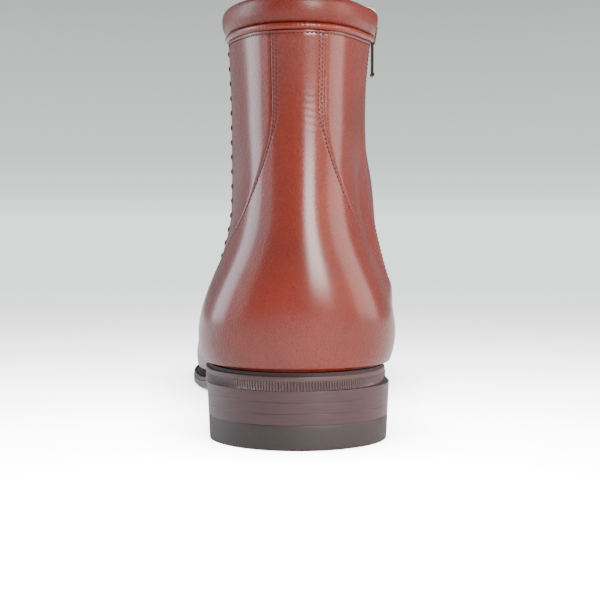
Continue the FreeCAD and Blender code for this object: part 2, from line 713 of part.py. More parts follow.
def write_parts():
    doc.recompute()
    for obj in doc.Objects:
        if {"Invalid", "Error"} & set(obj.State):
            raise RuntimeError("%s: %s" % (obj.Name, obj.getStatusString()))
    for node in NODES:
        if node.Shape.isNull() or not node.Shape.isValid():
            raise RuntimeError("no sound shape in " + node.Label)
        node.Shape.exportStep(os.path.join("parts", node.Label + ".step"))


upper()
inner_wall()
collar()
zip_chain()
slider()
pull()
side_stitches()
heel()
sole()
write_parts()
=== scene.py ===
import math

import bmesh
import bpy
import numpy as np
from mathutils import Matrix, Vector


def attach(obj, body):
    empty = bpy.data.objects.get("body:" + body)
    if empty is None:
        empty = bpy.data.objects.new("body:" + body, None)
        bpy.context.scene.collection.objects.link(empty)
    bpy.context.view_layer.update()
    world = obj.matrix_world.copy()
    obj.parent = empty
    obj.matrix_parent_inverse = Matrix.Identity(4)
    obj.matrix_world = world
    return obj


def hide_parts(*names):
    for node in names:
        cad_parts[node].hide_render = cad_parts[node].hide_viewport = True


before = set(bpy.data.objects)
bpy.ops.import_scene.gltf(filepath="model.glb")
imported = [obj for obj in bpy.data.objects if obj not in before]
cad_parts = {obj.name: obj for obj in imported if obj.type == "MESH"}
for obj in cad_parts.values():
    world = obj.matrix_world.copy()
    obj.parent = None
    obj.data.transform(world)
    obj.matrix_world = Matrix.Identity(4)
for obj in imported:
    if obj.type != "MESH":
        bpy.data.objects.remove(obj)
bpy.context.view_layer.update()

# Everything below is worked out in millimetres in the boot's own frame (origin under the
# heel, +Y to the toe, +X to the inner side, +Z up) and scaled once, when a mesh is made.
MM = 0.001

# ------------------------------------------------------------------ the last
FEATHER = [(-60, 27.3), (-20, 27.3), (5, 27.3), (24, 27.3), (34, 27.3), (45, 26.2), (62, 22.5),
           (90, 15.2), (116, 8.8), (132, 6.6), (146, 6.3), (160, 6.3), (182, 6.7),
           (208, 8.6), (235, 12.1), (265, 17.4), (290, 22.0)]
# Rings from the feather line up: back y, z; front y, z; half widths from back to front; how
# much of the swing; lean to the inner side; how far it follows FEATHER; how late it rises.
RINGS = [
    (-35.2, 27.3, 259.5, 15.5, (24.6, 33.9, 28.3, 33.8, 45.3, 38.0, 20.0), 1.0, 3.0, 1.0, 1),
    (-36.8, 38.0, 262.0, 26.0, (26.5, 36.3, 31.0, 37.5, 47.0, 39.5, 21.0), 0.8, 3.0, 0.9, 1),
    (-36.9, 50.0, 242.0, 41.5, (24.8, 34.6, 32.0, 36.0, 43.5, 35.0, 19.5), .35, 3.0, .75, 1),
    (-35.5, 64.0, 203.0, 50.5, (20.0, 29.6, 31.0, 32.5, 34.5, 27.5, 14.0), -.1, 3.0, .45, 1),
    (-33.0, 79.0, 160.0, 62.5, (15.0, 24.3, 28.3, 30.0, 28.0, 20.0, 10.0), -.3, 2.5, 0.2, 1),
    (-30.7, 95.0, 118.0, 75.5, (12.6, 20.8, 26.0, 28.4, 26.5, 18.8, 9.6), -.25, 2.0, 0, 1),
    (-29.6, 111., 82.0, 94.0, (11.2, 19.2, 24.4, 26.4, 24.6, 18.0, 9.5), -.15, 1.0, 0, 1.2),
    (-29.6, 128., 66.5, 120., (10.6, 18.4, 23.6, 25.2, 23.2, 17.0, 9.0), 0, 0.5, 0, 1.6),
    (-30.8, 146., 62.5, 152., (10.8, 18.8, 24.4, 26.1, 24.2, 18.0, 9.6), 0, 0, 0, 3),
    (-31.6, 157., 63.0, 168., (11.4, 19.7, 25.4, 27.3, 25.4, 18.9, 10.0), 0, 0, 0, 4),
]
SWING = (0.3, 0.9, 3.7, 5.8, 6.0, 3.4, 1.6)
COUNTER_SEAM = (.320, .293, .275, .255, .210, .150, .106, .105, .107, .107)
SIDE_SEAM = (.357, .334, .323, .324, .336, .369, .430, .471, .487, .487)
STEPS = len(SWING) + 1
COLUMNS = 2 * STEPS
ZIP_Y, ZIP_RADIUS, ZIP_X, ZIP_Z = 14.0, 200.0, 224.9, 118.0
ZIP_HALF, ZIP_END_Z, ZIP_SEAM_BEND = 4.6, 55.0, 0.045
ZIP_FLAT_HALF, ZIP_BLEND, ZIP_FADE_LOW, ZIP_FADE_HIGH = 5.0, 16.0, 46.0, 57.0


def cubic_slopes(x, y):
    """Slopes of a C2 cubic through (x, y), with three-point slopes at its ends."""
    n = len(x)
    a, b = np.zeros((n, n)), np.zeros_like(y)
    h = np.diff(x)
    d = np.diff(y, axis=0) / h.reshape(-1, *[1] * (y.ndim - 1))
    a[0, 0] = a[-1, -1] = 1
    b[0] = d[0] + (d[0] - d[1]) * h[0] / (h[0] + h[1])
    b[-1] = d[-1] + (d[-1] - d[-2]) * h[-1] / (h[-1] + h[-2])
    for i in range(1, n - 1):
        a[i, i - 1:i + 2] = h[i], 2 * (h[i - 1] + h[i]), h[i - 1]
        b[i] = 3 * (h[i] * d[i - 1] + h[i - 1] * d[i])
    return np.linalg.solve(a, b.reshape(n, -1)).reshape(y.shape)


def hermite(x, y, slopes, at):
    """The cubic's value at each place; at has one axis, y may have more."""
    k = np.clip(np.searchsorted(x, at, side="right") - 1, 0, len(x) - 2)
    h = x[k + 1] - x[k]
    t = (at - x[k]) / h
    t, h = (q.reshape(-1, *[1] * (y.ndim - 1)) for q in (t, h))
    return ((1 + 2 * t) * (1 - t) ** 2 * y[k] + t * (1 - t) ** 2 * h * slopes[k]
            + t * t * (3 - 2 * t) * y[k + 1] + t * t * (t - 1) * h * slopes[k + 1])


def curve_of(pairs):
    """A smooth curve through (place, value) pairs, as a function."""
    x, y = (np.array(c, float) for c in zip(*pairs))
    slopes = cubic_slopes(x, y)
    return lambda at: hermite(x, y, slopes, np.clip(np.atleast_1d(at), x[0], x[-1]))


feather_z = curve_of(FEATHER)
counter_seam = curve_of(list(enumerate(COUNTER_SEAM)))
side_seam = curve_of(list(enumerate(SIDE_SEAM)))


def ring_point(ring, step, side):
    """One of a ring's points; side is +1 on the inner side and -1 on the outer."""
    y0, z0, y1, z1, widths, swing, lean, sag, late = ring
    s = (1 - math.cos(math.pi * step / STEPS)) / 2
    y = y0 + (y1 - y0) * s
    z = z0 + (z1 - z0) * s ** late
    first, last = RINGS[0][1], RINGS[0][3]
    along = (y - RINGS[0][0]) / (RINGS[0][2] - RINGS[0][0])
    z += sag * (feather_z(y)[0] - (first + (last - first) * along))
    half = 0 if step in (0, STEPS) else widths[step - 1] - side * swing * SWING[step - 1]
    return side * half + lean * s * s, y, z


def column_of(k):
    """The step from back to front and the side of column k of the net."""
    return (k, 1) if k <= STEPS else (COLUMNS - k, -1)


NET = np.array([[ring_point(ring, *column_of(k)) for k in range(COLUMNS)] for ring in RINGS])
LEVELS = np.arange(len(RINGS), dtype=float)
NET_SLOPES = cubic_slopes(LEVELS, NET)
# slopes of the closed cubic round each ring, as one matrix on the ring's points
ONE_EACH = np.eye(COLUMNS)
ROUND_LEFT = ONE_EACH * 4 + np.roll(ONE_EACH, 1, 0) + np.roll(ONE_EACH, -1, 0)
ROUND_RIGHT = np.roll(ONE_EACH, 1, 1) - np.roll(ONE_EACH, -1, 1)
RING_SLOPES = np.linalg.solve(ROUND_LEFT, 3 * ROUND_RIGHT) * (COLUMNS / 2)
AT_ONCE = 60000         # points worked out in one go, to keep the arrays small
HALVINGS = 22


def bare(u, v):
    """Points of the plain last at u (0 back, 1 front, + inner side) and ring v."""
    u, v = np.broadcast_arrays(np.asarray(u, float), np.asarray(v, float))
    shape, u, v = u.shape, u.ravel(), v.ravel()
    out = np.empty((len(u), 3))
    for start in range(0, len(u), AT_ONCE):
        some = slice(start, start + AT_ONCE)
        columns = hermite(LEVELS, NET, NET_SLOPES, v[some])
        slopes = np.einsum("ij,njk->nik", RING_SLOPES, columns)
        at = (u[some] % 2.0) * COLUMNS / 2
        k = np.floor(at).astype(int) % COLUMNS
        t, row, h = (at - np.floor(at))[:, None], np.arange(len(k)), 2.0 / COLUMNS
        p, q = columns[row, k], columns[row, (k + 1) % COLUMNS]
        m, n = slopes[row, k] * h, slopes[row, (k + 1) % COLUMNS] * h
        out[some] = ((1 + 2 * t) * (1 - t) ** 2 * p + t * (1 - t) ** 2 * m
                     + t * t * (3 - 2 * t) * q + t * t * (t - 1) * n)
    return out.reshape(*shape, 3)


def find_u(v, y, low=0.0, high=1.0, where=bare):
    """Where ring v crosses a given y, on the inner side."""
    v, y = np.broadcast_arrays(np.asarray(v, float), np.asarray(y, float))
    low, high = np.full(v.shape, low), np.full(v.shape, high)
    for _ in range(HALVINGS):
        mid = (low + high) / 2
        short = where(mid, v)[..., 1] < y
        low, high = np.where(short, mid, low), np.where(short, high, mid)
    return (low + high) / 2


def arc_x(z):
    """The zip's arc: x at each height."""
    return ZIP_X - np.sqrt(ZIP_RADIUS ** 2 - (z - ZIP_Z) ** 2)


def ease(f):
    """0 to 1 with level ends."""
    f = np.clip(f, 0, 1)
    return f * f * (3 - 2 * f)


def last(u, v):
    """The last; beside the zip it lies flat on the zip's arc."""
    p = bare(u, v)
    x, y, z = p[..., 0], p[..., 1], p[..., 2]
    pull = ease(1 - (np.abs(y - ZIP_Y) - ZIP_FLAT_HALF) / ZIP_BLEND)
    pull *= ease((z - ZIP_FADE_LOW) / (ZIP_FADE_HIGH - ZIP_FADE_LOW)) * (x > 0)
    p[..., 0] = x + pull * (arc_x(z) - x)
    return p


def normals(u, v):
    """Outward directions of the last."""
    e = 0.003
    along = last(u + e, v) - last(u - e, v)
    up = last(u, v + e) - last(u, v - e)
    n = np.cross(along, up)
    return n / np.linalg.norm(n, axis=-1, keepdims=True)


def on_last(u, v, out=0.0):
    """A place on the last, lifted outward by some mm."""
    return last(u, v) + normals(u, v) * np.asarray(out, float)[..., None]


def unit(vectors):
    return vectors / np.linalg.norm(vectors, axis=-1, keepdims=True)


def run_along(points):
    """Distance travelled along a line of points, in mm."""
    return np.concatenate([[0], np.cumsum(np.linalg.norm(np.diff(points, axis=0), axis=-1))])


def zip_line(v):
    """The zip's line, and the plain seam that runs forward below its foot."""
    u = find_u(v, ZIP_Y)
    below = np.maximum(0.0, ZIP_END_Z + 1 - bare(u, v)[..., 2])
    return find_u(v, ZIP_Y + ZIP_SEAM_BEND * below ** 2)


zip_seam = curve_of([(v, float(zip_line(v))) for v in np.arange(0, len(RINGS) - 0.5, 0.5)])


# ------------------------------------------------------------------ meshes
def make_object(name, verts, faces, material, slot=None, replaces=(), smooth=True,
                body="boot"):
    mesh = bpy.data.meshes.new(name)
    mesh.from_pydata((np.asarray(verts) * MM).tolist(), [], faces)
    mesh.polygons.foreach_set("use_smooth", [smooth] * len(mesh.polygons))
    mesh.update()
    obj = bpy.data.objects.new(name, mesh)
    bpy.context.scene.collection.objects.link(obj)
    obj.data.materials.append(material)
    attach(obj, body)
    if replaces:
        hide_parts(*replaces)
    return obj


def grid_faces(rows, columns, wrap_rows=False, wrap_columns=False):
    """Quads of a grid of points, numbered row by row."""
    index = np.arange(rows * columns).reshape(rows, columns)
    if wrap_rows:
        index = np.vstack([index, index[:1]])
    if wrap_columns:
        index = np.hstack([index, index[:, :1]])
    quads = np.stack([index[:-1, :-1], index[:-1, 1:], index[1:, 1:], index[1:, :-1]], -1)
    return quads.reshape(-1, 4).tolist()


def grid_object(name, points, material, wrap=(False, False), thick=0.0, **options):
    rows, columns = points.shape[:2]
    obj = make_object(name, points.reshape(-1, 3), grid_faces(rows, columns, *wrap),
                      material, **options)
    if thick:
        solid = obj.modifiers.new("thickness", "SOLIDIFY")
        solid.thickness, solid.offset, solid.use_even_offset = thick * MM, -1, False
    return obj


EDGE_STEPS = np.array([0, .06, .15, .28, .45, .62, .78, .95, 1.12, 1.3, 1.5, 1.7, 1.9, 2.1,
                       2.3, 2.5, 2.8, 3.2, 3.7, 4.3, 5.0])


def lay_out(left, right, vs, columns):
    """u for every place of a panel: fine at both edges, even between.  Also the
    distance of each place from its left and right edge, in mm."""
    share = np.linspace(0, 1, 81)
    u_fine = left(vs)[:, None] + (right(vs) - left(vs))[:, None] * share
    p = last(u_fine, vs[:, None] * np.ones_like(u_fine))
    run = np.array([run_along(row) for row in p])
    us, lefts, rights = [], [], []
    middle = np.linspace(0, 1, columns + 2)[1:-1]
    for row, total in enumerate(run[:, -1]):
        edge = EDGE_STEPS * min(1.0, total / 2 * 0.8 / EDGE_STEPS[-1])
        inner = edge[-1] + (total - 2 * edge[-1]) * middle
        places = np.concatenate([edge, inner, total - edge[::-1]])
        us.append(np.interp(places, run[row], u_fine[row]))
        lefts.append(places)
        rights.append(total - places)
    return np.array(us), np.array(lefts), np.array(rights)


def roll_off(distance, radius):
    """How far an edge of that radius has dropped, that far in from it."""
    d = np.clip(distance, 0, radius)
    return radius - np.sqrt(np.maximum(radius ** 2 - (radius - d) ** 2, 0))


def rise_along(us, vs):
    """Distance of each place above the panel's bottom edge, in mm, down each column."""
    p = last(us, vs)
    return np.concatenate([np.zeros((1, us.shape[1])), np.cumsum(
        np.linalg.norm(np.diff(p, axis=0), axis=-1), 0)])


def panel_rows(low, high, count):
    """Ring values, close together at both ends."""
    f = np.linspace(0, 1, count)
    ends = np.array([.0, .0004, .001, .002, .0035, .0055, .008, .011])
    return low + (high - low) * np.unique(np.concatenate([ends, f, 1 - ends]))


def leather_panel(name, left, right, low, high, lift, material, count=150, columns=60,
                  thick=1.2, **options):
    """A panel of the upper.  lift(places) gives how far it stands off the last, from a
    dict of distances to its left, right, bottom and top edges and its points."""
    vs = panel_rows(low, high, count)
    us, from_left, from_right = lay_out(left, right, vs, columns)
    v_grid = np.repeat(vs[:, None], us.shape[1], 1)
    rise = rise_along(us, v_grid)
    places = {"left": from_left, "right": from_right, "bottom": rise,
              "top": rise[-1:] - rise, "p": last(us, v_grid), "u": us, "v": v_grid}
    points = places["p"] + normals(us, v_grid) * lift(places)[..., None]
    return grid_object(name, points, material, thick=thick, **options)


def close_up(obj):
    """Weld a closed piece's meeting points and turn all its faces outward."""
    shape = bmesh.new()
    shape.from_mesh(obj.data)
    bmesh.ops.remove_doubles(shape, verts=shape.verts, dist=1e-6)
    bmesh.ops.recalc_face_normals(shape, faces=shape.faces)
    shape.to_mesh(obj.data)
    shape.free()
    return obj


def end_taper(run, reach):
    """1 along a roll, falling to 0 at both ends as a round end does."""
    from_end = np.clip(np.minimum(run, run[-1] - run) / reach, 0, 1)
    return np.sqrt(1 - (1 - from_end) ** 2)


def roll(name, centres, outs, ups, half_out, half_up, material, round_end, points=40,
         squareness=1.0, extra=None, **options):
    """A closed roll: an oval cross-section carried along a line of centres."""
    a = np.linspace(0, 2 * np.pi, points, endpoint=False)
    cos, sin = (np.sign(f) * np.abs(f) ** squareness for f in (np.cos(a), np.sin(a)))
    run = run_along(centres)
    taper = end_taper(run, round_end)[:, None]
    swell = 1 + (extra(run[:, None], a[None]) if extra else 0)
    across = np.asarray(half_out).reshape(-1, 1) * cos * taper * swell
    high = np.asarray(half_up).reshape(-1, 1) * sin * taper
    grid = centres[:, None] + outs[:, None] * across[..., None] + ups[:, None] * high[..., None]
    return close_up(grid_object(name, grid, material, wrap=(False, True), **options))


def stitches(name, seats, alongs, outs, long, radius, material, slant=0.0, bow=1.5,
             replaces=(), slot="thread"):
    """A row of stitches as one piece: short bowed lengths of thread, ends in the leather."""
    alongs, outs = unit(alongs), unit(outs)
    across = np.cross(outs, alongs)
    turn = math.radians(slant)
    alongs = alongs * math.cos(turn) + across * math.sin(turn)
    across = np.cross(outs, alongs)
    t = np.linspace(-1, 1, 9)[:, None]
    a = np.linspace(0, 2 * np.pi, 8, endpoint=False)[None]
    thick = radius * np.sqrt(np.maximum(1 - np.abs(t) ** 3, 0))
    parts = [(alongs, long / 2 * t + 0 * a), (across, thick * np.cos(a)),
             (outs, thick * np.sin(a) - bow * radius * t ** 2)]
    grid = seats[:, None, None] + sum(way[:, None, None] * reach[None, ..., None]
                                      for way, reach in parts)
    one = np.array(grid_faces(9, 8, wrap_columns=True))
    faces = (one[None] + 72 * np.arange(len(seats))[:, None, None]).reshape(-1, 4)
    return close_up(make_object(name, grid.reshape(-1, 3), faces.tolist(), material,
                                slot=slot, replaces=replaces))


def along_seam(place, low, high, pitch, out, lead=0.5):
    """Evenly spaced seats down a seam (place gives u at ring v), with directions."""
    vs = np.linspace(high, low, 1200)
    run = run_along(last(place(vs), vs))
    v = np.interp(np.arange(lead * pitch, run[-1], pitch), run, vs)
    u, e = place(v), 0.01
    way = last(place(v - e), v - e) - last(place(v + e), v + e)
    lift = out(v) if callable(out) else np.full(v.shape, out)
    return on_last(u, v, lift), way, normals(u, v)


def join_rows(*rows):
    return tuple(np.concatenate(column) for column in zip(*rows))


# ------------------------------------------------------------------ materials
PATINA, FINE_GRAIN, COARSE_GRAIN = 38, 1400, 560      # noise cells per metre
SOLE_EDGE, SOLE_UNDER = (0.045, 0.024, 0.022), (0.30, 0.16, 0.085)


def shader(name, colour, roughness=0.5, metallic=0.0, coat=0.0, coat_roughness=0.1,
           specular=0.5):
    mat = bpy.data.materials.new(name)
    mat.use_nodes = True
    nodes, links = mat.node_tree.nodes, mat.node_tree.links
    p = nodes["Principled BSDF"]
    p.inputs["Base Color"].default_value = (*colour, 1)
    p.inputs["Roughness"].default_value = roughness
    p.inputs["Metallic"].default_value = metallic
    p.inputs["Coat Weight"].default_value = coat
    p.inputs["Coat Roughness"].default_value = coat_roughness
    p.inputs["Specular IOR Level"].default_value = specular
    mat.diffuse_color = (*colour, 1)
    return mat, nodes, links, p


def add_noise(nodes, links, scale, detail=3.0, stretch=(1, 1, 1)):
    """Noise fixed to the object; scale is in cells per metre."""
    place = nodes.new("ShaderNodeTexCoord")
    bend = nodes.new("ShaderNodeMapping")
    noise = nodes.new("ShaderNodeTexNoise")
    bend.inputs["Scale"].default_value = stretch
    noise.inputs["Scale"].default_value = scale
    noise.inputs["Detail"].default_value = detail
    links.new(place.outputs["Object"], bend.inputs["Vector"])
    links.new(bend.outputs["Vector"], noise.inputs["Vector"])
    return noise


def tone(nodes, links, p, noise, stops):
    """Colour from the noise through a ramp of (place, colour) stops."""
    ramp = nodes.new("ShaderNodeValToRGB")
    ramp.color_ramp.elements[0].position, ramp.color_ramp.elements[-1].position = \
        stops[0][0], stops[-1][0]
    ramp.color_ramp.elements[0].color = (*stops[0][1], 1)
    ramp.color_ramp.elements[-1].color = (*stops[-1][1], 1)
    for place, colour in stops[1:-1]:
        ramp.color_ramp.elements.new(place).color = (*colour, 1)
    links.new(noise.outputs["Fac"], ramp.inputs["Fac"])
    links.new(ramp.outputs["Color"], p.inputs["Base Color"])


def relief(nodes, links, p, layers):
    """Fine surface relief: layers of (noise, depth in mm), one bump after another."""
    normal = None
    for noise, depth in layers:
        bump = nodes.new("ShaderNodeBump")
        bump.inputs["Distance"].default_value = depth * MM
        links.new(noise.outputs["Fac"], bump.inputs["Height"])
        if normal:
            links.new(normal, bump.inputs["Normal"])
        normal = bump.outputs["Normal"]
    links.new(normal, p.inputs["Normal"])


def scaled(colour, by):
    """The colour made lighter or darker."""
    return tuple(min(1.0, c * by) for c in colour)


def leather(name, colour, roughness, coat, grain=0.02, vary=0.25, coat_roughness=0.23):
    """Polished calf: a broad patina and a two-sized grain, grain being its depth in mm."""
    mat, nodes, links, p = shader(name, colour, roughness, coat=coat,
                                  coat_roughness=coat_roughness, specular=0.15)
    broad = add_noise(nodes, links, PATINA, 4)
    tone(nodes, links, p, broad, [(0.3, scaled(colour, 1 - vary)), (0.52, colour),
                                  (0.75, scaled(colour, 1 + vary))])
    relief(nodes, links, p, [(add_noise(nodes, links, FINE_GRAIN, 3), grain),
                             (add_noise(nodes, links, COARSE_GRAIN, 2), grain * 0.5)])
    return mat


def plain(name, colour, roughness=0.6, grain=0.0, scale=900, vary=0.12, metallic=0.0,
          stretch=(1, 1, 1), coat=0.0):
    """One colour, a little uneven; scale is the noise's, in cells per metre."""
    mat, nodes, links, p = shader(name, colour, roughness, metallic, coat=coat)
    noise = add_noise(nodes, links, scale, 4, stretch)
    tone(nodes, links, p, noise, [(0.3, scaled(colour, 1 - vary)),
                                  (0.7, scaled(colour, 1 + vary))])
    if grain:
        relief(nodes, links, p, [(noise, grain)])
    return mat


def sole_leather():
    """Stained dark on its edge, natural underneath, where its face looks down."""
    mat, nodes, links, p = shader("sole_leather", SOLE_UNDER, 0.45, coat=0.15)
    noise = add_noise(nodes, links, 300, 4)
    facing = nodes.new("ShaderNodeNewGeometry")
    split = nodes.new("ShaderNodeSeparateXYZ")
    under = nodes.new("ShaderNodeMapRange")
    mix = nodes.new("ShaderNodeMix")
    mix.data_type = "RGBA"
    mix.inputs["A"].default_value = (*SOLE_EDGE, 1)
    mix.inputs["B"].default_value = (*SOLE_UNDER, 1)
    under.inputs["From Min"].default_value = -0.45
    under.inputs["From Max"].default_value = -0.8
    links.new(facing.outputs["Normal"], split.inputs["Vector"])
    links.new(split.outputs["Z"], under.inputs["Value"])
    links.new(under.outputs["Result"], mix.inputs["Factor"])
    links.new(mix.outputs["Result"], p.inputs["Base Color"])
    relief(nodes, links, p, [(noise, 0.02)])
    return mat


CALF = (0.125, 0.0084, 0.0009)
MAT = {
    "calf": leather("calf", CALF, 0.45, 0.85, grain=0.85, vary=0.22),
    "piping_calf": leather("piping_calf", CALF, 0.5, 0.7, grain=0.12, vary=0.15,
                           coat_roughness=0.3),
    "collar_calf": leather("collar_calf", scaled(CALF, 0.8), 0.5, 0.5, grain=0.5, vary=0.22,
                           coat_roughness=0.36),
    "lining": leather("lining_leather", (0.62, 0.50, 0.36), 0.6, 0.05, grain=0.03, vary=0.08),
    "thread": plain("machine_thread", (0.026, 0.006, 0.004), 0.9, grain=0.01, scale=4000),
    "side_thread": plain("side_thread", (0.004, 0.006, 0.005), 0.7, grain=0.05, scale=2500),
    # painted shade: the groove colour is near black to stand in for the shadow in the gap
    # between the upper and the welt
    "groove": plain("groove", (0.016, 0.005, 0.005), 0.8, grain=0.02, scale=500),
    "rand": plain("rand", (0.038, 0.017, 0.017), 0.55, grain=0.02, scale=500, coat=0.1),
    "stack": plain("stacked_leather", (0.025, 0.0040, 0.0066), 0.5, grain=0.02, scale=120,
                   vary=0.35, stretch=(1, 1, 14), coat=0.3),
    "rubber": plain("rubber", (0.016, 0.011, 0.009), 0.55, grain=0.02, scale=1400),
    "sole": sole_leather(),
    "cork": plain("cork", (0.38, 0.24, 0.12), 0.9, grain=0.1, scale=600, vary=0.4),
    "felt": plain("felt", (0.52, 0.47, 0.40), 0.95, grain=0.05, scale=1500),
    "board": plain("fibreboard", (0.30, 0.20, 0.12), 0.9, grain=0.05, scale=900),
    "foam": plain("foam", (0.75, 0.66, 0.40), 0.95, grain=0.1, scale=1200),
    "brass": plain("antique_brass", (0.10, 0.062, 0.045), 0.36, metallic=1.0, scale=700,
                   grain=0.01),
    "bronze": plain("pull_bronze", (0.034, 0.018, 0.014), 0.4, metallic=1.0, scale=700,
                    grain=0.01),
    "nail": plain("nail_brass", (0.55, 0.38, 0.16), 0.35, metallic=1.0, grain=0.01),
    "steel": plain("shank_steel", (0.5, 0.5, 0.52), 0.4, metallic=1.0, grain=0.01),
    "tape": plain("zip_tape", (0.020, 0.009, 0.007), 0.85, grain=0.05, scale=2200),
}
CAD_FINISH = {
    "zip_teeth_front": "brass", "zip_teeth_rear": "brass", "zip_bottom_stop": "brass",
    "zip_top_stops": "brass", "zip_slider": "brass", "zip_pull": "bronze",
    "zip_tape_front": "tape", "zip_tape_rear": "tape", "zip_guard": "lining",
    "heel_nails": "nail", "shank": "steel", "cork_filler": "cork",
    "heel_seat_filler": "cork", "insole": "sole", "sock_lining": "lining",
    # the lasting margin takes the groove's near-black colour, which is painted shade in the gap
    # under the upper
    "lasting_margin": "groove", "front_interlining": "felt",
    "back_interlining": "felt", "heel_stiffener": "board", "toe_puff": "board",
    "collar_foam": "foam", "heel_lift_1": "stack", "heel_lift_2": "stack",
    "heel_lift_3": "stack", "heel_top_lift": "rubber", "outsole": "sole",
    "heel_rand": "rand", "welt": "rand", "lining_vamp": "lining",
    "lining_quarters": "lining", "counter_panel": "calf", "quarter_lateral": "calf",
    "quarter_medial": "calf", "vamp": "calf", "collar_cover": "calf", "piping": "calf",
    "side_seam_thread": "side_thread",
}
for node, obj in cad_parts.items():
    obj.data.materials.clear()
    obj.data.materials.append(MAT[CAD_FINISH[node]])


def soften(node, width):
    """Break a metal piece's edges."""
    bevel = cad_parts[node].modifiers.new("soft_edges", "BEVEL")
    bevel.width, bevel.segments = width * MM, 2
    bevel.limit_method, bevel.angle_limit = "ANGLE", math.radians(40)


for node, width in (("zip_teeth_front", 0.22), ("zip_teeth_rear", 0.22), ("zip_slider", 0.2),
                    ("zip_pull", 0.18), ("zip_bottom_stop", 0.3), ("zip_top_stops", 0.3)):
    soften(node, width)


# ------------------------------------------------------------------ the upper
PANEL_TOP = 7.95
UNDERLAP = 3.5          # the quarters run this far under the counter panel
ROW_NEAR, ROW_FAR = 0.95, 2.15
MERGE_HIGH, MERGE_LOW = 118.0, 104.0
STITCH_PITCH = 1.55
COUNTER_PROUD = 0.34
CREASE_Z, CREASE_HIGH, CREASE_WIDE, CREASE_DEEP = 119, 9, 10, 0.010
TOP_GROOVE_IN, TOP_GROOVE_DEEP = 1.0, 0.12


def step_of(v, u, mm):
    """A distance along ring v as a step of u."""
    e = 0.002
    return mm * 2 * e / np.linalg.norm(last(u + e, v) - last(u - e, v), axis=-1)


def edge(seam, side, mm=0.0):
    """A seam on one side (+1 inner, -1 outer), moved forward by some mm."""
    def at(v):
        u = side * seam(v)
        return u + side * step_of(v, u, mm)
    return at


def wrapped(place):
    """The same place, one whole turn back."""
    return lambda v: place(v) - 2


def tuck(places, deep=1.7, high=2.2):
    """The upper turning under at the feather line."""
    return -deep * (1 - ease(places["bottom"] / high)) ** 1.3


def groove(distance, at, width=0.36, deep=0.13):
    """The dip that a row of stitches pulls into the leather."""
    return -deep * np.exp(-((distance - at) / width) ** 2)


def far_row(z):
    """Where the second stitch row lies: it closes on the first one lower down."""
    return ROW_NEAR + (ROW_FAR - ROW_NEAR) * ease((z - MERGE_LOW) / (MERGE_HIGH - MERGE_LOW))


def creases(p):
    """Fine wrinkles across the back of the ankle."""
    x, z = p[..., 0], p[..., 2]
    fade = np.exp(-((z - CREASE_Z) / CREASE_HIGH) ** 2 - (x / CREASE_WIDE) ** 2)
    wander = 0.3 * x + 1.4 * np.sin(0.37 * x) + 0.9 * np.sin(0.21 * z)
    return -CREASE_DEEP * fade * np.sin(2.4 * z + wander)


def counter_lift(q):
    """The heel panel lies over the quarters, its edges rounded, with its stitch rows."""
    nearest = np.minimum(q["left"], q["right"])
    out = COUNTER_PROUD + creases(q["p"]) + tuck(q)
    out -= roll_off(nearest, 0.5) + roll_off(q["top"], 0.4)
    out += groove(nearest, ROW_NEAR) + groove(nearest, far_row(q["p"][..., 2]))
    return out + groove(q["top"], TOP_GROOVE_IN, deep=TOP_GROOVE_DEEP)


def quarter_lift(under, seam, raised):
    """under: the side that runs below the counter panel; seam: the side with the open
    edge, which stands up a little where it is raised."""
    def lift(q):
        sink = -0.75 * (1 - ease((q[under] - UNDERLAP + 0.4) / 1.6))
        at_seam = raised * np.exp(-(q[seam] / 0.9) ** 2) - roll_off(q[seam], 0.5)
        return sink + at_seam + tuck(q) + groove(q["top"], TOP_GROOVE_IN, deep=TOP_GROOVE_DEEP)
    return lift


def front_lift(q):
    """The front stands up a little at the side seam and is turned in at the zip."""
    at_seam = 0.3 * np.exp(-(q["right"] / 0.9) ** 2) - roll_off(q["right"], 0.5)
    at_zip = -roll_off(q["left"], 0.6) + groove(q["left"], 1.6, deep=0.15)
    return at_seam + at_zip + tuck(q) + groove(q["top"], TOP_GROOVE_IN, deep=TOP_GROOVE_DEEP)


def zip_edge(front, gap=ZIP_HALF, further=0.0):
    """The leather's edge beside the zip: fore or aft of it by half the gap, which
    closes in a round end to a plain seam below; or a line further from the zip."""
    sign = 1 if front else -1

    def at(v):
        u = zip_seam(v)
        z = last(u, v)[..., 2]
        above = np.clip((z - ZIP_END_Z) / gap, 0, 1)
        half = gap * np.sqrt(1 - (1 - above) ** 2) + further
        straight = find_u(v, ZIP_Y + sign * half, where=last)
        seam = u + sign * step_of(v, u, 0.12 + further)
        return np.where(z > ZIP_END_Z + 0.3, straight, seam)
    return at


def upper():
    """The four leather panels."""
    calf = MAT["calf"]
    leather_panel("counter_leather", edge(counter_seam, -1), edge(counter_seam, 1), 0,
                  PANEL_TOP, counter_lift, calf, count=260, columns=110, slot="calf",
                  replaces=["counter_panel"])
    leather_panel("quarter_outer_leather", edge(side_seam, -1, -0.15),
                  edge(counter_seam, -1, -UNDERLAP), 0, PANEL_TOP,
                  quarter_lift("right", "left", 0.3), calf, count=170, columns=36,
                  slot="calf", replaces=["quarter_lateral"])
    leather_panel("quarter_inner_leather", edge(counter_seam, 1, -UNDERLAP),
                  zip_edge(False), 0, PANEL_TOP, quarter_lift("left", "right", 0.0), calf,
                  count=230, columns=36, slot="calf", replaces=["quarter_medial"])
    leather_panel("vamp_leather", wrapped(zip_edge(True)), edge(side_seam, -1, 0.15), 0,
                  PANEL_TOP, front_lift, calf, count=230, columns=260, slot="calf",
                  replaces=["vamp"])


upper()


